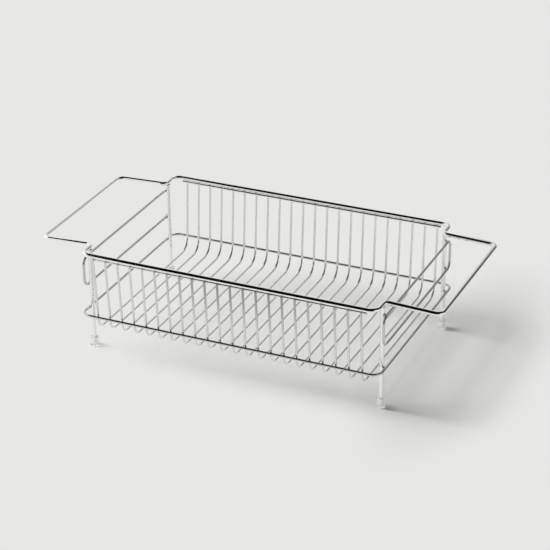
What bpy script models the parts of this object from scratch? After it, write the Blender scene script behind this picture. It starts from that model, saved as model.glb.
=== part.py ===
"""Over-sink dish drying rack: a basket of welded round wire hung in a heavier top frame
whose two end arms reach over the sides of a sink, on four legs with push-on plastic caps.

The rack stands on Z = 0 with its length along X and its width along Y. Heights and
positions of wires are those of their centre lines.
"""
import math

import bpy
from mathutils import Vector

MM = 0.001

# Wire diameters
FRAME_WIRE = 5.5 * MM
LEG_WIRE = 5.5 * MM
RAIL_WIRE = 3.2 * MM
RING_WIRE = 3.2 * MM
LOOP_WIRE = 3.2 * MM
BASKET_WIRE = 2.8 * MM

# Welded wires are drawn this far apart, so that each one stays a solid of its own
WELD_GAP = 0.3 * MM

# Top frame
FRAME_HEIGHT = 133.6 * MM
FRAME_WIDTH = 248.5 * MM
LEG_SPACING = 369.5 * MM
JOG_DEPTH = 26.25 * MM
ARM_REACH = 66.5 * MM
ARM_DROP = 2.5 * MM
OUTER_CORNER_RADIUS = 10.0 * MM
JOG_CORNER_RADIUS = 6.0 * MM
ARM_CORNER_RADIUS = 8.0 * MM

# Thin rail under each long side of the frame
RAIL_INSET = 1.2 * MM
RAIL_OVERRUN = 5.5 * MM

# Basket wires, each bent into a wide U
BASKET_WIRE_COUNT = 22
BASKET_END_MARGIN = 16.75 * MM
FLOOR_HEIGHT = 34.3 * MM
FRONT_BEND_RADIUS = 12.0 * MM
BACK_BEND_RADIUS = 18.0 * MM

# Ring round the foot of the basket
RING_RISE = 16.2 * MM
RING_CORNER_RADIUS = 12.0 * MM

# Upright loops that close the two ends of the basket
LOOP_TOP_DROP = 12.75 * MM
LOOP_LOW_SHARE = 0.459
LOOP_OVERHANG = 7.7 * MM
LOOP_CORNER_RADIUS = 9.0 * MM

# Legs and their caps
LEG_SETBACK = 6.05 * MM
CAP_HEIGHT = 12.0 * MM
CAP_WALL = 2.2 * MM
CAP_CLEARANCE = 0.3 * MM
CAP_FLOOR = 2.0 * MM
CAP_FOOT_ROUNDING = 1.8 * MM
CAP_LIP_ROUNDING = 0.8 * MM

# Fineness of the drawn shapes
CORNER_STEPS = 6
BASKET_BEND_STEPS = 5
ROUNDING_STEPS = 3
CAP_STEPS = 16
THICK_WIRE_RESOLUTION = 4
THIN_WIRE_RESOLUTION = 2
MERGE_DISTANCE = 0.01 * MM

# Finishes as linear red, green, blue, then metallic and roughness
POLISHED_STEEL = ((0.58, 0.58, 0.57), 1.0, 0.12)
DRAWN_STEEL = ((0.55, 0.55, 0.54), 1.0, 0.18)
CLEAR_VINYL = ((0.80, 0.80, 0.78), 0.0, 0.30)

# Centre lines worked out from the sizes above
frame_z = FRAME_HEIGHT - FRAME_WIRE / 2
frame_y = FRAME_WIDTH / 2 - FRAME_WIRE / 2
leg_x = LEG_SPACING / 2
arm_y = frame_y - JOG_DEPTH
arm_x = leg_x + ARM_REACH
leg_y = arm_y + LEG_SETBACK
ring_z = FLOOR_HEIGHT + RING_RISE
ring_y = frame_y
ring_x = leg_x + LEG_WIRE / 2 + WELD_GAP + RING_WIRE / 2
loop_x = leg_x + LEG_WIRE / 2 + WELD_GAP + LOOP_WIRE / 2
loop_top_z = frame_z - LOOP_TOP_DROP
loop_low_z = ring_z + (loop_top_z - ring_z) * LOOP_LOW_SHARE
basket_end_x = leg_x - BASKET_END_MARGIN

# The rail lies against the underside of the frame, a little inboard of it
rail_y = frame_y - RAIL_INSET
rail_reach = FRAME_WIRE / 2 + RAIL_WIRE / 2 + WELD_GAP
rail_z = frame_z - math.sqrt(rail_reach ** 2 - RAIL_INSET ** 2)

# A basket wire passes outside the rail and inside the ring, so its walls lean inward
wall_y_at_rail = rail_y + RAIL_WIRE / 2 + WELD_GAP + BASKET_WIRE / 2
wall_y_at_ring = ring_y - RING_WIRE / 2 - WELD_GAP - BASKET_WIRE / 2
wall_lean = (wall_y_at_rail - wall_y_at_ring) / (rail_z - ring_z)
wall_top_z = frame_z - FRAME_WIRE / 2 - WELD_GAP


def wall_y(z):
    """Distance of a leaning basket wall from the middle of the rack at height z."""
    return wall_y_at_ring + (z - ring_z) * wall_lean


def clear_scene():
    for old in list(bpy.data.objects):
        bpy.data.objects.remove(old, do_unlink=True)


def make_material(name, finish):
    colour, metallic, roughness = finish
    material = bpy.data.materials.new(name)
    material.use_nodes = True
    shader = material.node_tree.nodes["Principled BSDF"]
    shader.inputs["Base Color"].default_value = (*colour, 1.0)
    shader.inputs["Metallic"].default_value = metallic
    shader.inputs["Roughness"].default_value = roughness
    material.diffuse_color = (*colour, 1.0)
    return material


def corner_arc(before, corner, after, radius, steps):
    """Points of the arc that rounds one corner of a bent wire."""
    back = (before - corner).normalized()
    ahead = (after - corner).normalized()
    half_angle = back.angle(ahead) / 2
    start = corner + back * (radius / math.tan(half_angle))
    end = corner + ahead * (radius / math.tan(half_angle))
    centre = corner + (back + ahead).normalized() * (radius / math.sin(half_angle))
    first = (start - centre).normalized()
    last = (end - centre).normalized()
    return [centre + first.slerp(last, step / steps) * radius for step in range(steps + 1)]


def bent_wire(corners, steps, closed):
    """Points along a wire, from a list of its corners and their bend radii."""
    points = []
    for index, (corner, radius) in enumerate(corners):
        is_end = not closed and index in (0, len(corners) - 1)
        if is_end:
            points.append(corner)
            continue
        before = corners[index - 1][0]
        after = corners[(index + 1) % len(corners)][0]
        points.extend(corner_arc(before, corner, after, radius, steps))
    return points


def wire_curve(name, points, diameter, resolution, closed, material):
    """A round wire along the points, with flat ends unless it is closed."""
    curve = bpy.data.curves.new(name, "CURVE")
    curve.dimensions = "3D"
    curve.bevel_depth = diameter / 2
    curve.bevel_resolution = resolution
    curve.use_fill_caps = True
    spline = curve.splines.new("POLY")
    spline.points.add(len(points) - 1)
    for place, point in zip(spline.points, points):
        place.co = (*point, 1.0)
    spline.use_cyclic_u = closed
    curve.materials.append(material)
    return curve


def place(name, data, location, collection, origin):
    """Put one sub-part into the rack under its own name."""
    piece = bpy.data.objects.new(name, data)
    piece.location = location
    piece.parent = origin
    collection.objects.link(piece)
    return piece


def top_frame_curve(material):
    """The closed frame: two long sides, a jog at each corner and an arm at each end."""
    arm_z = frame_z - ARM_DROP
    quarter = [
        (leg_x, frame_y, frame_z, OUTER_CORNER_RADIUS),
        (leg_x, arm_y, frame_z, JOG_CORNER_RADIUS),
        (arm_x, arm_y, arm_z, ARM_CORNER_RADIUS),
    ]
    corners = []
    for side_x, side_y in ((1, -1), (1, 1), (-1, 1), (-1, -1)):
        run = quarter if side_x * side_y < 0 else quarter[::-1]
        for x, y, z, radius in run:
            corners.append((Vector((side_x * x, side_y * y, z)), radius))
    points = bent_wire(corners, CORNER_STEPS, closed=True)
    return wire_curve("top_frame", points, FRAME_WIRE, THICK_WIRE_RESOLUTION, True, material)


def rail_curve(material):
    """A straight rail, drawn about its own middle."""
    half_length = basket_end_x + RAIL_OVERRUN
    points = [Vector((-half_length, 0, 0)), Vector((half_length, 0, 0))]
    return wire_curve("rail", points, RAIL_WIRE, THIN_WIRE_RESOLUTION, False, material)


def basket_wire_curve(material):
    """One U: down the front wall, across the floor and up the back wall."""
    top_y = wall_y(wall_top_z)
    floor_y = wall_y(FLOOR_HEIGHT)
    corners = [
        (Vector((0, -top_y, wall_top_z)), 0),
        (Vector((0, -floor_y, FLOOR_HEIGHT)), FRONT_BEND_RADIUS),
        (Vector((0, floor_y, FLOOR_HEIGHT)), BACK_BEND_RADIUS),
        (Vector((0, top_y, wall_top_z)), 0),
    ]
    points = bent_wire(corners, BASKET_BEND_STEPS, closed=False)
    return wire_curve("basket_wire", points, BASKET_WIRE, THIN_WIRE_RESOLUTION, False, material)


def base_ring_curve(material):
    """The closed ring round the foot of the basket, outside its wires and legs."""
    corners = [
        (Vector((side_x * ring_x, side_y * ring_y, 0)), RING_CORNER_RADIUS)
        for side_x, side_y in ((1, -1), (1, 1), (-1, 1), (-1, -1))
    ]
    points = bent_wire(corners, CORNER_STEPS, closed=True)
    return wire_curve("base_ring", points, RING_WIRE, THIN_WIRE_RESOLUTION, True, material)


def end_loop_curve(material):
    """A closed upright loop, welded to the outer faces of two legs."""
    half_length = leg_y + LOOP_OVERHANG
    corners = [
        (Vector((0, side_y * half_length, z)), LOOP_CORNER_RADIUS)
        for side_y, z in (
            (-1, loop_low_z),
            (1, loop_low_z),
            (1, loop_top_z),
            (-1, loop_top_z),
        )
    ]
    points = bent_wire(corners, CORNER_STEPS, closed=True)
    return wire_curve("end_loop", points, LOOP_WIRE, THIN_WIRE_RESOLUTION, True, material)


def leg_curve(material):
    """A straight leg, from inside its cap up to the underside of the frame."""
    foot_z = CAP_FLOOR + WELD_GAP
    points = [Vector((0, 0, foot_z)), Vector((0, 0, wall_top_z))]
    return wire_curve("leg", points, LEG_WIRE, THICK_WIRE_RESOLUTION, False, material)


def quarter_round(centre_x, centre_z, radius, start_turn):
    """Points of a quarter circle that turns clockwise from start_turn quarter turns."""
    points = []
    for step in range(ROUNDING_STEPS + 1):
        angle = (start_turn - step / ROUNDING_STEPS) * math.pi / 2
        points.append((centre_x + radius * math.cos(angle), centre_z + radius * math.sin(angle)))
    return points


def foot_cap_mesh(material):
    """Half section of a cap: a blind sleeve with a rounded lip and a rounded foot."""
    bore_radius = LEG_WIRE / 2 + CAP_CLEARANCE
    outer_radius = bore_radius + CAP_WALL
    lip_x = outer_radius - CAP_LIP_ROUNDING
    lip_z = CAP_HEIGHT - CAP_LIP_ROUNDING
    foot_x = outer_radius - CAP_FOOT_ROUNDING
    section = [(0, CAP_FLOOR), (bore_radius, CAP_FLOOR), (bore_radius, CAP_HEIGHT)]
    section += quarter_round(lip_x, lip_z, CAP_LIP_ROUNDING, 1)
    section += quarter_round(foot_x, CAP_FOOT_ROUNDING, CAP_FOOT_ROUNDING, 0)
    section.append((0, 0))
    mesh = bpy.data.meshes.new("foot_cap")
    edges = [(index, index + 1) for index in range(len(section) - 1)]
    mesh.from_pydata([(x, 0, z) for x, z in section], edges, [])
    mesh.materials.append(material)
    return mesh


def turn_cap(cap):
    """Turn a cap's half section once round its leg."""
    screw = cap.modifiers.new("turned", "SCREW")
    screw.axis = "Z"
    screw.angle = math.tau
    screw.steps = CAP_STEPS
    screw.render_steps = CAP_STEPS
    screw.use_merge_vertices = True
    screw.merge_threshold = MERGE_DISTANCE
    screw.use_smooth_shade = True


def build_rack():
    collection = bpy.data.collections.new("over_sink_dish_rack")
    bpy.context.scene.collection.children.link(collection)
    origin = bpy.data.objects.new("rack_origin", None)
    collection.objects.link(origin)

    polished = make_material("polished_frame_steel", POLISHED_STEEL)
    drawn = make_material("bright_drawn_wire", DRAWN_STEEL)
    vinyl = make_material("clear_vinyl", CLEAR_VINYL)

    place("top_frame", top_frame_curve(polished), (0, 0, 0), collection, origin)

    rail = rail_curve(drawn)
    place("front_rail", rail, (0, -rail_y, rail_z), collection, origin)
    place("back_rail", rail, (0, rail_y, rail_z), collection, origin)

    basket_wire = basket_wire_curve(drawn)
    pitch = 2 * basket_end_x / (BASKET_WIRE_COUNT - 1)
    for number in range(BASKET_WIRE_COUNT):
        x = number * pitch - basket_end_x
        place(f"basket_wire_{number + 1:02d}", basket_wire, (x, 0, 0), collection, origin)

    place("base_ring", base_ring_curve(drawn), (0, 0, ring_z), collection, origin)

    end_loop = end_loop_curve(drawn)
    place("left_end_loop", end_loop, (-loop_x, 0, 0), collection, origin)
    place("right_end_loop", end_loop, (loop_x, 0, 0), collection, origin)

    leg = leg_curve(polished)
    foot_cap = foot_cap_mesh(vinyl)
    for end, side_x in (("left", -1), ("right", 1)):
        for wall, side_y in (("front", -1), ("back", 1)):
            spot = (side_x * leg_x, side_y * leg_y, 0)
            place(f"leg_{wall}_{end}", leg, spot, collection, origin)
            cap = place(f"foot_cap_{wall}_{end}", foot_cap, spot, collection, origin)
            turn_cap(cap)


clear_scene()
build_rack()
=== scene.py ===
"""The looks of the over-sink dish rack: polished round wire, its welds and clear foot caps."""
import math

import bmesh
import bpy
from mathutils import Matrix, Vector


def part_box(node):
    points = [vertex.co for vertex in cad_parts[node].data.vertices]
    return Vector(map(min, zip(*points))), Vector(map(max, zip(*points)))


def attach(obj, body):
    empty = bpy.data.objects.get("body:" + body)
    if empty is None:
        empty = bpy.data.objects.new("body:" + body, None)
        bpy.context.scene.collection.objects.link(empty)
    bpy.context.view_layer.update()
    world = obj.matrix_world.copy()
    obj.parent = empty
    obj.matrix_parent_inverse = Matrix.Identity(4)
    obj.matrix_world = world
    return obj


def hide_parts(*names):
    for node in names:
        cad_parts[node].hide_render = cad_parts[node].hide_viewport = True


MM = 0.001

# Wire diameters
FRAME_WIRE = 5.5 * MM
LEG_WIRE = 5.5 * MM
RAIL_WIRE = 3.2 * MM
RING_WIRE = 3.2 * MM
LOOP_WIRE = 3.2 * MM
BASKET_WIRE = 2.8 * MM
WELD_GAP = 0.3 * MM

# Bend radii of the centre lines
OUTER_CORNER_RADIUS = 10.0 * MM
JOG_CORNER_RADIUS = 6.0 * MM
ARM_CORNER_RADIUS = 8.0 * MM
RING_CORNER_RADIUS = 12.0 * MM
LOOP_CORNER_RADIUS = 9.0 * MM
FRONT_BEND_RADIUS = 12.0 * MM
BACK_BEND_RADIUS = 18.0 * MM

# How far an arm's two outward runs stand to the front and back of the rack's middle
ARM_Y = 95.25 * MM

BASKET_WIRE_COUNT = 22
CORNERS = ("front_left", "front_right", "back_left", "back_right")

# Fineness of the round sections and the bends
THICK_SIDES = 28
THIN_SIDES = 18
DEGREES_PER_STEP = 6.0
END_RING = 0.9 * MM
CLOSING_DISTANCE = 0.05 * MM

# Cut ends, rounded by this share of the wire's diameter
CUT_END_ROUNDING = 0.14
CUT_END_STEPS = 3

# Foot caps
CAP_FLOOR = 2.0 * MM
CAP_GRIP = 0.04 * MM
CAP_LIP_ROUNDING = 0.8 * MM
CAP_LIP_STEPS = 6
CAP_FOOT_ROUNDING = 1.8 * MM
CAP_FOOT_STEPS = 8
CAP_TURN_STEPS = 56
CAP_MERGE_DISTANCE = 0.01 * MM

# Half sizes of the weld beads
CROSS_BEAD = (1.9 * MM, 1.0 * MM, 1.9 * MM)
SIDE_BEAD = (1.0 * MM, 2.2 * MM, 2.1 * MM)
TOP_COLLAR = (3.3 * MM, 3.3 * MM, 1.3 * MM)

# Colours of the steel, and how rough it is from its smoothest to its roughest spots
POLISHED_STEEL = "#FDFCFC"
FRAME_ROUGHNESS = (0.02, 0.06)
RAIL_ROUGHNESS = (0.02, 0.07)
LEG_ROUGHNESS = (0.06, 0.16)
BASKET_ROUGHNESS = (0.03, 0.10)
BASKET_STEEL = "#CFCECE"
WELD_STEEL = "#ECEBEA"
WELD_ROUGHNESS = (0.16, 0.34)

# Features per metre in the surface patterns. Real die lines lie some hundredths of a
# millimetre apart; these are 0.4 mm apart, coarser than real, so that a render can hold them.
# Handling marks are about 8 mm, a weld's orange peel 0.7 mm, the vinyl's waves 2.4 mm.
DIE_LINES = 2600.0
HANDLING_MARKS = 130.0
WELD_PEEL = 1400.0
VINYL_WAVES = 420.0

# Die lines are drawn out along the wire by this scale; with the handling marks, this part of
# their range goes from the smoothest steel to the roughest
DIE_LINE_STRETCH = 0.012
WEAR_RANGE = (0.12, 0.42)

# Relief of the patterns: strength and depth
DIE_LINE_RELIEF = (0.08, 0.02 * MM)
WELD_RELIEF = (0.35, 0.06 * MM)
VINYL_RELIEF = (0.1, 0.1 * MM)

# Basket hoops: the bright floor and back, and painted shade: the darker front wall and its
# greyer middle
HOOP_BRIGHT = "#ECEBEB"
HOOP_FRONT = "#E4E3E3"
HOOP_PAINTED_SHADE = "#A8A7A6"
HOOP_BEND_RISE = 8 * MM
HOOP_SHADE_RISE = 30 * MM
HOOP_SHADE_LEFT_X = (-0.12, -0.01)
HOOP_SHADE_RIGHT_X = (0.06, 0.12)
HOOP_SHADE_RIGHT_SHARE = 0.5

# Front rail: a slightly darker steel than the back rail's, and painted shade in the strip right
# under the frame, which begins left of the middle
RAIL_FRONT = "#F8F7F7"
RAIL_PAINTED_SHADE = "#2E2E2E"
RAIL_SHADE_RISE = 0.6 * MM
RAIL_SHADE_X = (-0.10, 0.0)

# Legs: painted shade on the right flank, greyer between these sideways parts of the surface
# direction
LEG_FLANK_SHADE = "#EEEDED"
LEG_FLANK_TURN = (0.2, 0.8)

# Clear vinyl
VINYL_COLOUR = "#FEFEFC"
VINYL_ROUGHNESS = (0.03, 0.12)
VINYL_CLEARNESS = 0.88
VINYL_IOR = 1.48

# The camera of the photograph
IMAGE_PIXELS = 550
FOCAL_PIXELS = 1949.81
SENSOR_MM = 36.0
CAMERA_PLACE = Vector((0.86612, -1.88736, 1.13036))
CAMERA_AZIMUTH = math.radians(24.44243)
CAMERA_DOWN = math.radians(26.75596)
CAMERA_ROLL = math.radians(-0.63341)
CAMERA_REACH = 50.0

UP = Vector((0, 0, 1))


def linear(hex_colour):
    """An sRGB hex colour as the linear values that a shader takes."""
    channels = [int(hex_colour[place : place + 2], 16) / 255 for place in (1, 3, 5)]
    return tuple(
        channel / 12.92 if channel <= 0.04045 else ((channel + 0.055) / 1.055) ** 2.4
        for channel in channels
    )


def opaque(hex_colour):
    """An sRGB hex colour as the four values of a colour socket."""
    return (*linear(hex_colour), 1.0)


def add_node(tree, kind, inputs=None, **settings):
    """A node with its settings; each input is a plain value or another node's output."""
    made = tree.nodes.new(kind)
    for name, value in settings.items():
        setattr(made, name, value)
    for name, value in (inputs or {}).items():
        if isinstance(value, bpy.types.NodeSocket):
            tree.links.new(value, made.inputs[name])
        else:
            made.inputs[name].default_value = value
    return made


def ramp(tree, value, span, low=0.0, high=1.0, kind="SMOOTHSTEP"):
    """Goes from low to high while the value goes through the span, and holds beyond it."""
    made = add_node(
        tree,
        "ShaderNodeMapRange",
        {"Value": value, "From Min": span[0], "From Max": span[1],
         "To Min": low, "To Max": high},
        interpolation_type=kind,
    )
    return made.outputs["Result"]


def calculate(tree, operation, *values):
    """One step of arithmetic on plain values and other nodes' outputs."""
    made = add_node(tree, "ShaderNodeMath", dict(enumerate(values)), operation=operation)
    return made.outputs["Value"]


def blend(tree, share, colour, other):
    """A colour that turns into the other one as the share goes from 0 to 1."""
    made = add_node(tree, "ShaderNodeMix", {0: share, 6: colour, 7: other}, data_type="RGBA")
    return made.outputs[2]


def noise(tree, place, scale, **inputs):
    """Even noise with that many features per metre."""
    made = add_node(
        tree, "ShaderNodeTexNoise", {"Vector": place, "Scale": scale, **inputs}
    )
    return made.outputs["Fac"]


def object_place(tree):
    """Where a point is, from the middle of the rack on the floor."""
    return add_node(tree, "ShaderNodeTexCoord").outputs["Object"]


def along_axes(tree, vector):
    """The X, Y and Z parts of a vector, by name."""
    return add_node(tree, "ShaderNodeSeparateXYZ", {"Vector": vector}).outputs


def start_material(name):
    """An empty material with its shader and output."""
    material = bpy.data.materials.new(name)
    material.use_nodes = True
    tree = material.node_tree
    tree.nodes.clear()
    shader = add_node(tree, "ShaderNodeBsdfPrincipled")
    add_node(tree, "ShaderNodeOutputMaterial", {"Surface": shader.outputs["BSDF"]})
    return material, tree, shader


def wear_surface(tree, shader, wear, roughness, height, relief):
    """Roughness that follows the wear from 0 to 1, and a slight relief."""
    rough = ramp(tree, wear, (0.0, 1.0), *roughness, kind="LINEAR")
    strength, depth = relief
    bump = add_node(
        tree, "ShaderNodeBump", {"Height": height, "Strength": strength, "Distance": depth}
    )
    tree.links.new(rough, shader.inputs["Roughness"])
    tree.links.new(bump.outputs["Normal"], shader.inputs["Normal"])


def start_wire(name, colour, roughness):
    """Cold-drawn stainless wire, polished: a mirror with faint die lines along its length."""
    material, tree, shader = start_material(name)
    straight = add_node(tree, "ShaderNodeAttribute", attribute_name="straight_stock")
    stock = straight.outputs["Vector"]
    stretched = add_node(
        tree, "ShaderNodeMapping", {"Vector": stock, "Scale": (1.0, 1.0, DIE_LINE_STRETCH)}
    )
    lines = noise(tree, stretched.outputs["Vector"], DIE_LINES, Detail=3.0, Roughness=0.6)
    handling = noise(tree, stock, HANDLING_MARKS, Detail=2.0)
    wear = ramp(tree, calculate(tree, "MULTIPLY", lines, handling), WEAR_RANGE, kind="LINEAR")
    wear_surface(tree, shader, wear, roughness, lines, DIE_LINE_RELIEF)
    shader.inputs["Base Color"].default_value = opaque(colour)
    shader.inputs["Metallic"].default_value = 1.0
    return material, tree, shader


def polished_wire(name, colour, roughness):
    """Stainless wire of one colour all over: bright, with black and white mirrored lines."""
    return start_wire(name, colour, roughness)[0]


def shaded_hoop_wire(name, floor_z, rail_z):
    """Bright drawn wire of the basket hoops, with painted shade: darker on the front wall and
    greyer up its middle.
    """
    material, tree, shader = start_wire(name, HOOP_FRONT, BASKET_ROUGHNESS)
    place = along_axes(tree, object_place(tree))
    # Painted shade: grey rising up the middle of the front wall
    upward = ramp(tree, place["Z"], (floor_z + HOOP_SHADE_RISE, rail_z))
    from_left = ramp(tree, place["X"], HOOP_SHADE_LEFT_X)
    to_right = ramp(tree, place["X"], HOOP_SHADE_RIGHT_X, 1.0, HOOP_SHADE_RIGHT_SHARE)
    middle_part = calculate(tree, "MULTIPLY", from_left, to_right)
    grey = calculate(tree, "MULTIPLY", upward, middle_part)
    wall = blend(tree, grey, opaque(HOOP_FRONT), opaque(HOOP_PAINTED_SHADE))
    # Painted shade: the front wall above its bend is darker than the floor and back
    above_bend = ramp(tree, place["Z"], (floor_z, floor_z + HOOP_BEND_RISE))
    in_front = calculate(tree, "LESS_THAN", place["Y"], 0.0)
    front = calculate(tree, "MULTIPLY", above_bend, in_front)
    colour = blend(tree, front, opaque(HOOP_BRIGHT), wall)
    tree.links.new(colour, shader.inputs["Base Color"])
    return material


def front_rail_with_painted_shade(name, rail_z):
    """The front rail's wire, with painted shade: slightly darker than the back rail, and dark in
    the strip right under the frame.
    """
    material, tree, shader = start_wire(name, RAIL_FRONT, RAIL_ROUGHNESS)
    place = along_axes(tree, object_place(tree))
    # Painted shade: dark right under the frame, from left of the middle to the right end
    under_frame = ramp(tree, place["Z"], (rail_z, rail_z + RAIL_SHADE_RISE))
    under_frame_shade = calculate(tree, "MULTIPLY", under_frame, ramp(tree, place["X"], RAIL_SHADE_X))
    colour = blend(tree, under_frame_shade, opaque(RAIL_FRONT), opaque(RAIL_PAINTED_SHADE))
    tree.links.new(colour, shader.inputs["Base Color"])
    return material


def leg_wire_with_painted_shade(name):
    """Leg wire, a softer mirror, with painted shade: greyer on its right flank, as the
    photograph shows it.
    """
    material, tree, shader = start_wire(name, POLISHED_STEEL, LEG_ROUGHNESS)
    facing = along_axes(tree, add_node(tree, "ShaderNodeNewGeometry").outputs["Normal"])
    # Painted shade: the right flank is greyer
    shaded_flank = ramp(tree, facing["X"], LEG_FLANK_TURN)
    colour = blend(tree, shaded_flank, opaque(POLISHED_STEEL), opaque(LEG_FLANK_SHADE))
    tree.links.new(colour, shader.inputs["Base Color"])
    return material


def electropolished_weld():
    """Resistance-welded nugget after electropolishing: satin grey, a little orange peel."""
    material, tree, shader = start_material("electropolished_weld")
    peel = noise(tree, object_place(tree), WELD_PEEL, Detail=2.0)
    wear_surface(tree, shader, peel, WELD_ROUGHNESS, peel, WELD_RELIEF)
    shader.inputs["Base Color"].default_value = opaque(WELD_STEEL)
    shader.inputs["Metallic"].default_value = 1.0
    return material


def clear_soft_vinyl():
    """Dip-soft clear PVC: the leg shows through it, its skin faintly uneven."""
    material, tree, shader = start_material("clear_soft_vinyl")
    waves = noise(tree, object_place(tree), VINYL_WAVES, Detail=3.0)
    wear_surface(tree, shader, waves, VINYL_ROUGHNESS, waves, VINYL_RELIEF)
    shader.inputs["Base Color"].default_value = opaque(VINYL_COLOUR)
    shader.inputs["Transmission Weight"].default_value = VINYL_CLEARNESS
    shader.inputs["IOR"].default_value = VINYL_IOR
    return material


def finish_piece(name, mesh_data, material, replaced=()):
    """Turn a bmesh into a smooth-shaded piece that rides with the rack."""
    bmesh.ops.recalc_face_normals(mesh_data, faces=mesh_data.faces)
    mesh = bpy.data.meshes.new(name)
    mesh_data.to_mesh(mesh)
    mesh_data.free()
    mesh.materials.append(material)
    mesh.shade_smooth()
    piece = bpy.data.objects.new(name, mesh)
    bpy.context.scene.collection.objects.link(piece)
    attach(piece, "root")
    if replaced:
        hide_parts(*replaced)
    return piece


class WireBender:
    """Feeds round stock forward and bends it, the way the real wire is formed."""

    def __init__(self, start, heading, diameter, sides):
        self.mesh = bmesh.new()
        self.straight = self.mesh.verts.layers.float_vector.new("straight_stock")
        turn = heading.to_track_quat("Z", "Y").to_matrix().to_4x4()
        made = bmesh.ops.create_circle(
            self.mesh,
            cap_ends=False,
            segments=sides,
            radius=diameter / 2,
            matrix=Matrix.Translation(start) @ turn,
        )
        self.section = made["verts"]
        self.first_section = list(self.section)
        to_stock = (Matrix.Translation(start) @ turn).inverted()
        for vertex in self.section:
            vertex[self.straight] = to_stock @ vertex.co
        self.heading = heading.normalized()
        self.tip = start.copy()

    def section_edges(self):
        """The edges round the newest section."""
        inside = set(self.section)
        return [
            edge
            for edge in {edge for vertex in self.section for edge in vertex.link_edges}
            if edge.verts[0] in inside and edge.verts[1] in inside
        ]

    def advance(self, made, length):
        """Take the newest ring of vertices as the section, further along the stock."""
        self.section = [part for part in made if isinstance(part, bmesh.types.BMVert)]
        for vertex in self.section:
            vertex[self.straight] = vertex[self.straight] + Vector((0, 0, length))

    def feed(self, length):
        """Feed straight stock; a ring near each end keeps the run between them true."""
        parts = [length]
        if length > 4 * END_RING:
            parts = [END_RING, length - 2 * END_RING, END_RING]
        for part in parts:
            made = bmesh.ops.extrude_edge_only(self.mesh, edges=self.section_edges())["geom"]
            self.advance(made, part)
            bmesh.ops.translate(self.mesh, verts=self.section, vec=self.heading * part)
            self.tip += self.heading * part

    def bend(self, new_heading, radius):
        """Turn towards a new heading round a former of that radius."""
        axis = self.heading.cross(new_heading).normalized()
        angle = self.heading.angle(new_heading)
        centre = self.tip + axis.cross(self.heading) * radius
        steps = max(2, round(math.degrees(angle) / DEGREES_PER_STEP))
        for _ in range(steps):
            made = bmesh.ops.spin(
                self.mesh,
                geom=self.section + self.section_edges(),
                cent=centre,
                axis=axis,
                dvec=(0, 0, 0),
                angle=angle / steps,
                steps=1,
                use_merge=False,
                use_duplicate=False,
            )["geom_last"]
            self.advance(made, radius * angle / steps)
        turn = Matrix.Rotation(angle, 3, axis)
        self.tip = centre + turn @ (self.tip - centre)
        self.heading = new_heading.normalized()

    def follow(self, corners, closed):
        """Run round a list of corners with their bend radii; the tip is on the first run."""
        for index, (corner, radius) in enumerate(corners):
            if radius == 0:
                self.feed((corner - self.tip).length)
                continue
            onward = corners[(index + 1) % len(corners)][0] - corner
            half_turn = self.heading.angle(onward) / 2
            self.feed((corner - self.tip).length - radius * math.tan(half_turn))
            self.bend(onward, radius)
        if closed:
            start = sum((vertex.co for vertex in self.first_section), Vector())
            start /= len(self.first_section)
            self.feed((start - self.tip).length)
            bmesh.ops.remove_doubles(
                self.mesh, verts=self.first_section + self.section, dist=CLOSING_DISTANCE
            )

    def round_cut_ends(self, diameter):
        """Close both cut ends and take off their sharp edges."""
        for ends in (self.first_section, self.section):
            inside = set(ends)
            rim = [edge for edge in self.mesh.edges if set(edge.verts) <= inside]
            bmesh.ops.contextual_create(self.mesh, geom=rim)
            bmesh.ops.bevel(
                self.mesh,
                geom=rim,
                offset=diameter * CUT_END_ROUNDING,
                offset_type="OFFSET",
                affect="EDGES",
                segments=CUT_END_STEPS,
                profile=0.5,
                material=-1,
            )


def open_wire(name, corners, diameter, sides, material, replaced):
    """A wire from its first corner to its last, with rounded cut ends."""
    start = corners[0][0]
    bender = WireBender(start, corners[1][0] - start, diameter, sides)
    bender.follow(corners[1:], closed=False)
    bender.round_cut_ends(diameter)
    return finish_piece(name, bender.mesh, material, replaced)


def closed_wire(name, start, corners, diameter, sides, material, replaced):
    """A wire bent all the way round and butt-welded to its own start."""
    bender = WireBender(start, corners[0][0] - start, diameter, sides)
    bender.follow(corners, closed=True)
    return finish_piece(name, bender.mesh, material, replaced)


def middle(node):
    """The middle of a node's box."""
    low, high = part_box(node)
    return (low + high) / 2


def top_frame(material):
    """The heavy frame: two long sides, a jog at each corner and an arm at each end."""
    low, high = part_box("top_frame")
    side_y = high.y - FRAME_WIRE / 2
    side_z = high.z - FRAME_WIRE / 2
    arm_x = high.x - FRAME_WIRE / 2
    arm_z = low.z + FRAME_WIRE / 2
    jog_x = middle("leg_front_right").x
    right = [
        (Vector((jog_x, side_y, side_z)), OUTER_CORNER_RADIUS),
        (Vector((jog_x, ARM_Y, side_z)), JOG_CORNER_RADIUS),
        (Vector((arm_x, ARM_Y, arm_z)), ARM_CORNER_RADIUS),
    ]
    corners = right + [(Vector((c.x, -c.y, c.z)), r) for c, r in reversed(right)]
    corners += [(Vector((-c.x, -c.y, c.z)), r) for c, r in right]
    corners += [(Vector((-c.x, c.y, c.z)), r) for c, r in reversed(right)]
    start = Vector((0, side_y, side_z))
    closed_wire(
        "bent_top_frame", start, corners, FRAME_WIRE, THICK_SIDES, material,
        ("top_frame",),
    )


def rails(front_material, back_material):
    """The thin straight rail under each long side of the frame."""
    for side, material in (("front", front_material), ("back", back_material)):
        low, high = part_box(f"{side}_rail")
        centre = (low + high) / 2
        corners = [
            (Vector((low.x, centre.y, centre.z)), 0),
            (Vector((high.x, centre.y, centre.z)), 0),
        ]
        open_wire(
            f"drawn_{side}_rail", corners, RAIL_WIRE, THIN_SIDES, material,
            (f"{side}_rail",),
        )


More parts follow.
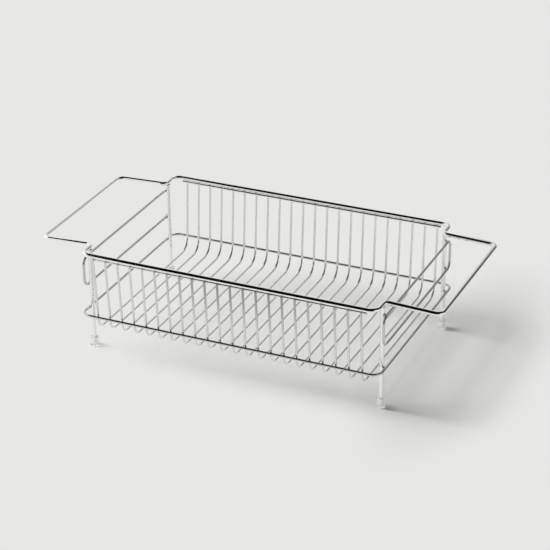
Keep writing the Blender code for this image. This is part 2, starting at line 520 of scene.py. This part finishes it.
def wall_y(z):
    """How far a basket wall stands from the middle of the rack at height z."""
    rail_y = middle("back_rail").y + RAIL_WIRE / 2 + WELD_GAP + BASKET_WIRE / 2
    ring_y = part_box("base_ring")[1].y - RING_WIRE - WELD_GAP - BASKET_WIRE / 2
    rail_z = middle("back_rail").z
    ring_z = middle("base_ring").z
    return ring_y + (z - ring_z) * (rail_y - ring_y) / (rail_z - ring_z)


def basket_hoops(material):
    """The U-shaped wires of the basket."""
    top_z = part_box("leg_front_left")[1].z
    for number in range(1, BASKET_WIRE_COUNT + 1):
        node = f"basket_wire_{number:02d}"
        low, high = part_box(node)
        x = (low.x + high.x) / 2
        floor_z = low.z + BASKET_WIRE / 2
        corners = [
            (Vector((x, -wall_y(top_z), top_z)), 0),
            (Vector((x, -wall_y(floor_z), floor_z)), FRONT_BEND_RADIUS),
            (Vector((x, wall_y(floor_z), floor_z)), BACK_BEND_RADIUS),
            (Vector((x, wall_y(top_z), top_z)), 0),
        ]
        open_wire(
            f"basket_hoop_{number:02d}", corners, BASKET_WIRE, THIN_SIDES, material,
            (node,),
        )


def base_ring(material):
    """The ring round the foot of the basket."""
    low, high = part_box("base_ring")
    x = high.x - RING_WIRE / 2
    y = high.y - RING_WIRE / 2
    z = (low.z + high.z) / 2
    corners = [
        (Vector((side_x * x, side_y * y, z)), RING_CORNER_RADIUS)
        for side_x, side_y in ((1, 1), (1, -1), (-1, -1), (-1, 1))
    ]
    closed_wire(
        "bent_base_ring", Vector((0, y, z)), corners, RING_WIRE, THIN_SIDES, material,
        ("base_ring",),
    )


def end_loops(material):
    """The upright loop that closes each end of the basket."""
    for end in ("left", "right"):
        low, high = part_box(f"{end}_end_loop")
        x = (low.x + high.x) / 2
        y = high.y - LOOP_WIRE / 2
        low_z = low.z + LOOP_WIRE / 2
        top_z = high.z - LOOP_WIRE / 2
        corners = [
            (Vector((x, side_y * y, z)), LOOP_CORNER_RADIUS)
            for side_y, z in ((1, low_z), (1, top_z), (-1, top_z), (-1, low_z))
        ]
        closed_wire(
            f"bent_{end}_loop", Vector((x, 0, low_z)), corners, LOOP_WIRE, THIN_SIDES,
            material, (f"{end}_end_loop",),
        )


def legs(material):
    """The straight legs, cut to length."""
    for corner in CORNERS:
        low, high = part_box(f"leg_{corner}")
        centre = (low + high) / 2
        corners = [
            (Vector((centre.x, centre.y, low.z)), 0),
            (Vector((centre.x, centre.y, high.z)), 0),
        ]
        open_wire(
            f"cut_leg_{corner}", corners, LEG_WIRE, THICK_SIDES, material,
            (f"leg_{corner}",),
        )


def weld_beads(name, places, half_size, material):
    """Small squashed beads where wires that cross were resistance-welded."""
    beads = bmesh.new()
    for place in places:
        bead = bmesh.ops.create_icosphere(beads, subdivisions=2, radius=1.0)["verts"]
        bmesh.ops.scale(beads, verts=bead, vec=half_size)
        bmesh.ops.translate(beads, verts=bead, vec=place)
    finish_piece(name, beads, material)


def welds(material):
    """Every joint of the rack: basket wires to rail and ring, legs to all that they carry."""
    wire_x = [
        middle(f"basket_wire_{number:02d}").x for number in range(1, BASKET_WIRE_COUNT + 1)
    ]
    rail = middle("back_rail")
    ring = middle("base_ring")
    rail_y = rail.y + (RAIL_WIRE + WELD_GAP) / 2
    ring_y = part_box("base_ring")[1].y - RING_WIRE - WELD_GAP / 2
    leg = middle("leg_back_right")
    leg_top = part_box("leg_back_right")[1].z
    side_x = leg.x + LEG_WIRE / 2
    loop_low, loop_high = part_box("right_end_loop")
    heights = (ring.z, loop_low.z + LOOP_WIRE / 2, loop_high.z - LOOP_WIRE / 2)
    across = (-1, 1)
    corners = [(x, y) for x in across for y in across]
    weld_beads(
        "rail_weld_beads",
        [(x, y * rail_y, rail.z) for x in wire_x for y in across],
        CROSS_BEAD, material,
    )
    weld_beads(
        "ring_weld_beads",
        [(x, y * ring_y, ring.z) for x in wire_x for y in across],
        CROSS_BEAD, material,
    )
    weld_beads(
        "leg_side_weld_beads",
        [(x * side_x, y * leg.y, z) for x, y in corners for z in heights],
        SIDE_BEAD, material,
    )
    weld_beads(
        "leg_top_weld_collars",
        [(x * leg.x, y * leg.y, leg_top) for x, y in corners],
        TOP_COLLAR, material,
    )


def round_section_corner(mesh_data, corner, radius, steps):
    """Round one corner of a flat section before it is turned."""
    bmesh.ops.bevel(
        mesh_data, geom=corner, offset=radius, offset_type="OFFSET",
        affect="VERTICES", segments=steps, profile=0.5, material=-1,
    )


def foot_caps(material):
    """Blind sleeves, moulded in one piece and pushed on to the legs."""
    for corner in CORNERS:
        low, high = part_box(f"foot_cap_{corner}")
        centre = (low + high) / 2
        radius = (high.x - low.x) / 2
        bore = LEG_WIRE / 2 - CAP_GRIP
        cap = bmesh.new()
        section = [
            (0, CAP_FLOOR),
            (bore, CAP_FLOOR),
            (bore, high.z),
            (radius, high.z),
            (radius, 0),
            (0, 0),
        ]
        points = [cap.verts.new((r, 0, z)) for r, z in section]
        for pair in zip(points, points[1:]):
            cap.edges.new(pair)
        round_section_corner(cap, points[3:4], CAP_LIP_ROUNDING, CAP_LIP_STEPS)
        foot_corner = [v for v in cap.verts if v.co.x > radius - MM and v.co.z < MM]
        round_section_corner(cap, foot_corner, CAP_FOOT_ROUNDING, CAP_FOOT_STEPS)
        bmesh.ops.spin(
            cap, geom=cap.verts[:] + cap.edges[:], cent=(0, 0, 0), axis=UP,
            dvec=(0, 0, 0), angle=math.tau, steps=CAP_TURN_STEPS, use_merge=True,
            use_duplicate=False,
        )
        bmesh.ops.remove_doubles(cap, verts=cap.verts, dist=CAP_MERGE_DISTANCE)
        bmesh.ops.translate(cap, verts=cap.verts, vec=(centre.x, centre.y, 0))
        finish_piece(
            f"moulded_cap_{corner}", cap, material, (f"foot_cap_{corner}",)
        )


def add_camera():
    """The camera where the photograph was taken from, looking the same way."""
    forward = Vector((
        -math.sin(CAMERA_AZIMUTH) * math.cos(CAMERA_DOWN),
        math.cos(CAMERA_AZIMUTH) * math.cos(CAMERA_DOWN),
        -math.sin(CAMERA_DOWN),
    ))
    right = forward.cross(UP).normalized()
    above = right.cross(forward)
    image_x = right * math.cos(CAMERA_ROLL) + above * math.sin(CAMERA_ROLL)
    image_y = above * math.cos(CAMERA_ROLL) - right * math.sin(CAMERA_ROLL)
    data = bpy.data.cameras.new("photo_camera")
    data.sensor_width = SENSOR_MM
    data.lens = FOCAL_PIXELS * SENSOR_MM / IMAGE_PIXELS
    data.clip_end = CAMERA_REACH
    camera = bpy.data.objects.new("photo_camera", data)
    turn = Matrix((image_x, image_y, -forward)).transposed().to_4x4()
    camera.matrix_world = Matrix.Translation(CAMERA_PLACE) @ turn
    bpy.context.scene.collection.objects.link(camera)
    bpy.context.scene.camera = camera


# Studio. A soft box stands at the left, a little in front. Its parts have an azimuth and a
# height in degrees, and the level at which each lights level ground.
SOFT_BOX = (
    (178, 34, 0.067),
    (185, 38, 0.067),
    (192, 34, 0.082),
    (199, 38, 0.086),
    (206, 34, 0.078),
    (178, 44, 0.035),
    (186, 48, 0.051),
    (194, 44, 0.059),
    (202, 48, 0.051),
    (209, 42, 0.035),
    (180, 56, 0.027),
    (190, 58, 0.027),
    (178, 70, 0.055),
)
SOFT_BOX_PART_WIDTH = 10.0
FILL_LEVEL = 0.28
FILL_COLOUR = (1.0, 0.985, 0.985, 1.0)
BACKDROP_COLOUR = "#E7E7E5"
FLOOR_HALF_SIZE = 12.0

# The rack's shadow on the sweep, washed out by the sweep's own glow, a painted light: where it
# grows away from the light, how it ends on the right, how much of it stays beside a foot, under
# a clear cap and in what the steel mirrors
SHADOW_START_X = (-0.22, 0.12)
SHADOW_END_X = (0.27, 0.36)
SHADOW_END_BOW = 1.2
FLOOR_OWN_SHARE = 0.09
FOOT_SHADOW_RADIUS = (6 * MM, 28 * MM)
FOOT_SHADOW_SHARE = 0.5
CAP_EDGE_RADIUS = (4.8 * MM, 6.2 * MM)
UNDER_CAP_SHARE = 0.35
MIRRORED_SHADOW = 0.4

# Painted shadows on the sweep, the greyer patch on the right and the dark streak of contact
# shadow at the front right foot: an oval's middle, its half sizes, where it begins to fade and
# how dark it is
PATCH_MIDDLE = (0.2321, 0.045)
PATCH_HALF_SIZE = (0.11, 0.30)
PATCH_FADE = (0.35, 1.0)
PATCH_SHADE = 0.83
STREAK_OFF_LEG = (9 * MM, -2.8 * MM)
STREAK_HALF_SIZE = (16 * MM, 3.5 * MM)
STREAK_FADE = (0.2, 1.0)
STREAK_SHADE = 0.52

# Cards round the rack that only its mirror surfaces see: colour and corners. The overhead card
# slopes down towards the back, and its left edge is cut to shape for the arms.
CARD_BLACK = "#060606"
OVERHEAD_FRONT_Y = -2.0
OVERHEAD_FRONT_Z = 2.0
OVERHEAD_SLOPE = 2 / 3
OVERHEAD_OUTLINE = (
    (-1.80, -2.0), (3.0, -2.0), (3.0, 0.22), (-0.40, 0.22), (-0.40, 0.34),
    (-0.495, 0.34), (-0.505, 0.22), (-0.535, 0.08), (-0.64, 0.06), (-0.66, -0.1),
    (-0.76, -0.3), (-0.96, -0.53), (-1.32, -1.09),
)
CARDS = {
    "front_card": (
        CARD_BLACK,
        ((-1.03, -2.0, 0.0), (3.0, -2.0, 0.0), (3.0, -2.0, 2.0), (-1.50, -2.0, 2.0)),
    ),
    "low_front_card": (
        CARD_BLACK,
        ((-1.03, -2.0, 0.002), (3.0, -2.0, 0.002), (3.0, -0.8, 0.002), (-0.56, -0.8, 0.002)),
    ),
    "overhead_card": (
        CARD_BLACK,
        tuple(
            (x, y, OVERHEAD_FRONT_Z - (y - OVERHEAD_FRONT_Y) * OVERHEAD_SLOPE)
            for x, y in OVERHEAD_OUTLINE
        ),
    ),
    "right_card": (
        CARD_BLACK,
        ((0.62, 0.95, 0.0), (1.8, 0.45, 0.0), (1.8, 0.45, 1.2), (0.62, 0.95, 1.2)),
    ),
    "back_grey_card": (
        "#A8A8A6",
        ((-0.1, 1.2, 0.0), (0.62, 0.95, 0.0), (0.62, 0.95, 1.2), (-0.1, 1.2, 1.2)),
    ),
    "left_white_card": (
        "#FFFFFF",
        ((-1.3, -0.9, 0.05), (-1.3, 0.5, 0.05), (-1.1, 0.5, 1.4), (-1.1, -0.9, 1.4)),
    ),
}


def seen_or_mirrored(tree):
    """1 for what the camera sees straight, in a mirror or through plastic, 0 for light."""
    path = add_node(tree, "ShaderNodeLightPath").outputs
    seen = path["Is Camera Ray"]
    for kind in ("Is Glossy Ray", "Is Transmission Ray"):
        seen = calculate(tree, "MAXIMUM", seen, path[kind])
    return seen


def vector_length(tree, vector):
    """How long a vector is."""
    made = add_node(tree, "ShaderNodeVectorMath", {0: vector}, operation="LENGTH")
    return made.outputs["Value"]


def from_foot(tree, ground):
    """How far a point of the sweep is from the middle of the nearest foot."""
    one_corner = add_node(tree, "ShaderNodeVectorMath", {0: ground}, operation="ABSOLUTE")
    leg = middle("leg_back_right")
    away = add_node(
        tree,
        "ShaderNodeVectorMath",
        {0: one_corner.outputs["Vector"], 1: (leg.x, leg.y, 0.0)},
        operation="SUBTRACT",
    )
    return vector_length(tree, away.outputs["Vector"])


def shadow_kept(tree, ground):
    """How much of the rack's shadow the sweep shows.

    It is washed out near the light and far away by the sweep's own glow, a painted light; it
    stays beside each foot; and under the clear caps the glow is painted in where light would
    come through them.
    """
    place = along_axes(tree, ground)
    foot = from_foot(tree, ground)
    off_light = ramp(tree, place["X"], SHADOW_START_X, kind="LINEAR")
    near_foot = ramp(tree, foot, FOOT_SHADOW_RADIUS, FOOT_SHADOW_SHARE, 0.0, "LINEAR")
    beside = calculate(tree, "MAXIMUM", off_light, near_foot)
    bow = calculate(tree, "MULTIPLY", place["Y"], place["Y"])
    reach = calculate(tree, "MULTIPLY_ADD", bow, SHADOW_END_BOW, place["X"])
    far = ramp(tree, reach, SHADOW_END_X, 1.0 - FLOOR_OWN_SHARE, 0.0)
    kept = calculate(tree, "MULTIPLY", beside, far)
    # Painted light under the clear caps: the sweep's glow shows there in place of the shadow
    off_cap = ramp(tree, foot, CAP_EDGE_RADIUS, UNDER_CAP_SHARE, 1.0, "LINEAR")
    return calculate(tree, "MULTIPLY", kept, off_cap)


def oval_shade(tree, ground, centre, half_size, fade, shade):
    """A painted shadow: a darker oval on the sweep with a soft edge; 1 outside it."""
    in_ovals = add_node(
        tree,
        "ShaderNodeMapping",
        {"Vector": ground,
         "Location": (-centre[0] / half_size[0], -centre[1] / half_size[1], 0.0),
         "Scale": (1 / half_size[0], 1 / half_size[1], 1.0)},
    )
    return ramp(tree, vector_length(tree, in_ovals.outputs["Vector"]), fade, shade, 1.0)


def floor_material():
    """Matt white sweep; part of its paleness is the backdrop colour glowing as painted light,
    which washes out the rack's shadow, and the rest is lit; painted shadows darken its colour.
    """
    material, tree, shader = start_material("matt_white_sweep")
    ground = object_place(tree)
    leg = middle("leg_front_right")
    beside_foot = (leg.x + STREAK_OFF_LEG[0], leg.y + STREAK_OFF_LEG[1])
    # Painted shadows: the greyer patch on the right and the dark streak beside the front right
    # foot
    painted_patch_shadow = oval_shade(tree, ground, PATCH_MIDDLE, PATCH_HALF_SIZE, PATCH_FADE, PATCH_SHADE)
    painted_foot_streak = oval_shade(
        tree, ground, beside_foot, STREAK_HALF_SIZE, STREAK_FADE, STREAK_SHADE
    )
    colour = add_node(
        tree,
        "ShaderNodeVectorMath",
        {0: linear(BACKDROP_COLOUR), "Scale": calculate(tree, "MULTIPLY", painted_patch_shadow, painted_foot_streak)},
        operation="SCALE",
    ).outputs["Vector"]
    tree.links.new(colour, shader.inputs["Base Color"])
    shader.inputs["Roughness"].default_value = 1.0
    shader.inputs["Specular IOR Level"].default_value = 0.0
    # The sweep's own glow, painted light that washes out the rack's shadow where the shadow is
    # not kept
    own = add_node(tree, "ShaderNodeEmission", {"Color": colour, "Strength": 1.0})
    mirrored = add_node(tree, "ShaderNodeLightPath").outputs["Is Glossy Ray"]
    fainter = ramp(tree, mirrored, (0.0, 1.0), 1.0, MIRRORED_SHADOW, "LINEAR")
    kept = calculate(tree, "MULTIPLY", shadow_kept(tree, ground), fainter)
    washed_out = calculate(tree, "SUBTRACT", 1.0, kept)
    share = calculate(tree, "MULTIPLY", seen_or_mirrored(tree), washed_out)
    mixed = add_node(
        tree,
        "ShaderNodeMixShader",
        {0: share, 1: shader.outputs["BSDF"], 2: own.outputs["Emission"]},
    )
    output = next(node for node in tree.nodes if node.type == "OUTPUT_MATERIAL")
    tree.links.new(mixed.outputs["Shader"], output.inputs["Surface"])
    return material


def stage_piece(name, mesh_data, material):
    """Turn a bmesh into a piece of the studio."""
    mesh = bpy.data.meshes.new(name)
    mesh_data.to_mesh(mesh)
    mesh_data.free()
    mesh.materials.append(material)
    piece = bpy.data.objects.new(name, mesh)
    bpy.context.scene.collection.objects.link(piece)
    return piece


def add_floor():
    """The sweep that the rack stands on."""
    floor = bmesh.new()
    bmesh.ops.create_grid(floor, x_segments=1, y_segments=1, size=FLOOR_HALF_SIZE)
    stage_piece("sweep_floor", floor, floor_material())


def add_world():
    """Backdrop for the camera, mirrors and clear plastic; even fill light for the rest."""
    world = bpy.data.worlds.new("studio")
    bpy.context.scene.world = world
    world.use_nodes = True
    tree = world.node_tree
    tree.nodes.clear()
    fill = add_node(
        tree, "ShaderNodeBackground", {"Color": FILL_COLOUR, "Strength": FILL_LEVEL}
    )
    shown = add_node(
        tree, "ShaderNodeBackground", {"Color": opaque(BACKDROP_COLOUR), "Strength": 1.0}
    )
    backdrop = add_node(
        tree,
        "ShaderNodeMixShader",
        {0: seen_or_mirrored(tree), 1: fill.outputs[0], 2: shown.outputs[0]},
    )
    add_node(tree, "ShaderNodeOutputWorld", {"Surface": backdrop.outputs[0]})


def add_soft_box():
    """The lamps of the soft box; each one lights level ground at its own level."""
    for azimuth, height, level in SOFT_BOX:
        around, up = math.radians(azimuth), math.radians(height)
        towards = Vector((
            math.cos(up) * math.cos(around),
            math.cos(up) * math.sin(around),
            math.sin(up),
        ))
        name = f"soft_box_{azimuth}_{height}"
        light = bpy.data.lights.new(name, "SUN")
        light.angle = math.radians(SOFT_BOX_PART_WIDTH)
        light.energy = level * math.pi / towards.z
        lamp = bpy.data.objects.new(name, light)
        lamp.rotation_euler = towards.to_track_quat("Z", "Y").to_euler()
        bpy.context.scene.collection.objects.link(lamp)


def add_cards():
    """The cards, hidden from everything but mirror surfaces."""
    for name, (colour, corners) in CARDS.items():
        paper = bpy.data.materials.new(name)
        paper.use_nodes = True
        tree = paper.node_tree
        tree.nodes.clear()
        glow = add_node(
            tree, "ShaderNodeEmission", {"Color": opaque(colour), "Strength": 1.0}
        )
        add_node(tree, "ShaderNodeOutputMaterial", {"Surface": glow.outputs[0]})
        card = bmesh.new()
        card.faces.new([card.verts.new(corner) for corner in corners])
        piece = stage_piece(name, card, paper)
        piece.visible_camera = False
        piece.visible_diffuse = False
        piece.visible_shadow = False
        piece.visible_transmission = False


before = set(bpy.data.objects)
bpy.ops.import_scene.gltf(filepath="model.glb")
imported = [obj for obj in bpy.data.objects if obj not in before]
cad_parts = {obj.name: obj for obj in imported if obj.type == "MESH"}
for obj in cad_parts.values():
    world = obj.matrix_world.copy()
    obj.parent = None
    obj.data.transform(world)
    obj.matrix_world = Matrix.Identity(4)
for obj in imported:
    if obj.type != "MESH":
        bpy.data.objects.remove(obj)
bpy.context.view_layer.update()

frame_steel = polished_wire("polished_stainless_frame", POLISHED_STEEL, FRAME_ROUGHNESS)
rail_steel = polished_wire("polished_stainless_rail", POLISHED_STEEL, RAIL_ROUGHNESS)
basket_steel = polished_wire("bright_drawn_stainless", BASKET_STEEL, BASKET_ROUGHNESS)
leg_steel = leg_wire_with_painted_shade("polished_stainless_leg")
shaded_front_rail_steel = front_rail_with_painted_shade("polished_stainless_front_rail_painted_shade", middle("front_rail").z)
hoop_steel = shaded_hoop_wire(
    "bright_drawn_hoop_stainless_painted_shade",
    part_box("basket_wire_01")[0].z + BASKET_WIRE,
    middle("back_rail").z,
)

top_frame(frame_steel)
rails(shaded_front_rail_steel, rail_steel)
basket_hoops(hoop_steel)
base_ring(basket_steel)
end_loops(basket_steel)
legs(leg_steel)
welds(electropolished_weld())
foot_caps(clear_soft_vinyl())

add_camera()
add_floor()
add_world()
add_soft_box()
add_cards()
bpy.context.scene.view_settings.view_transform = "Standard"
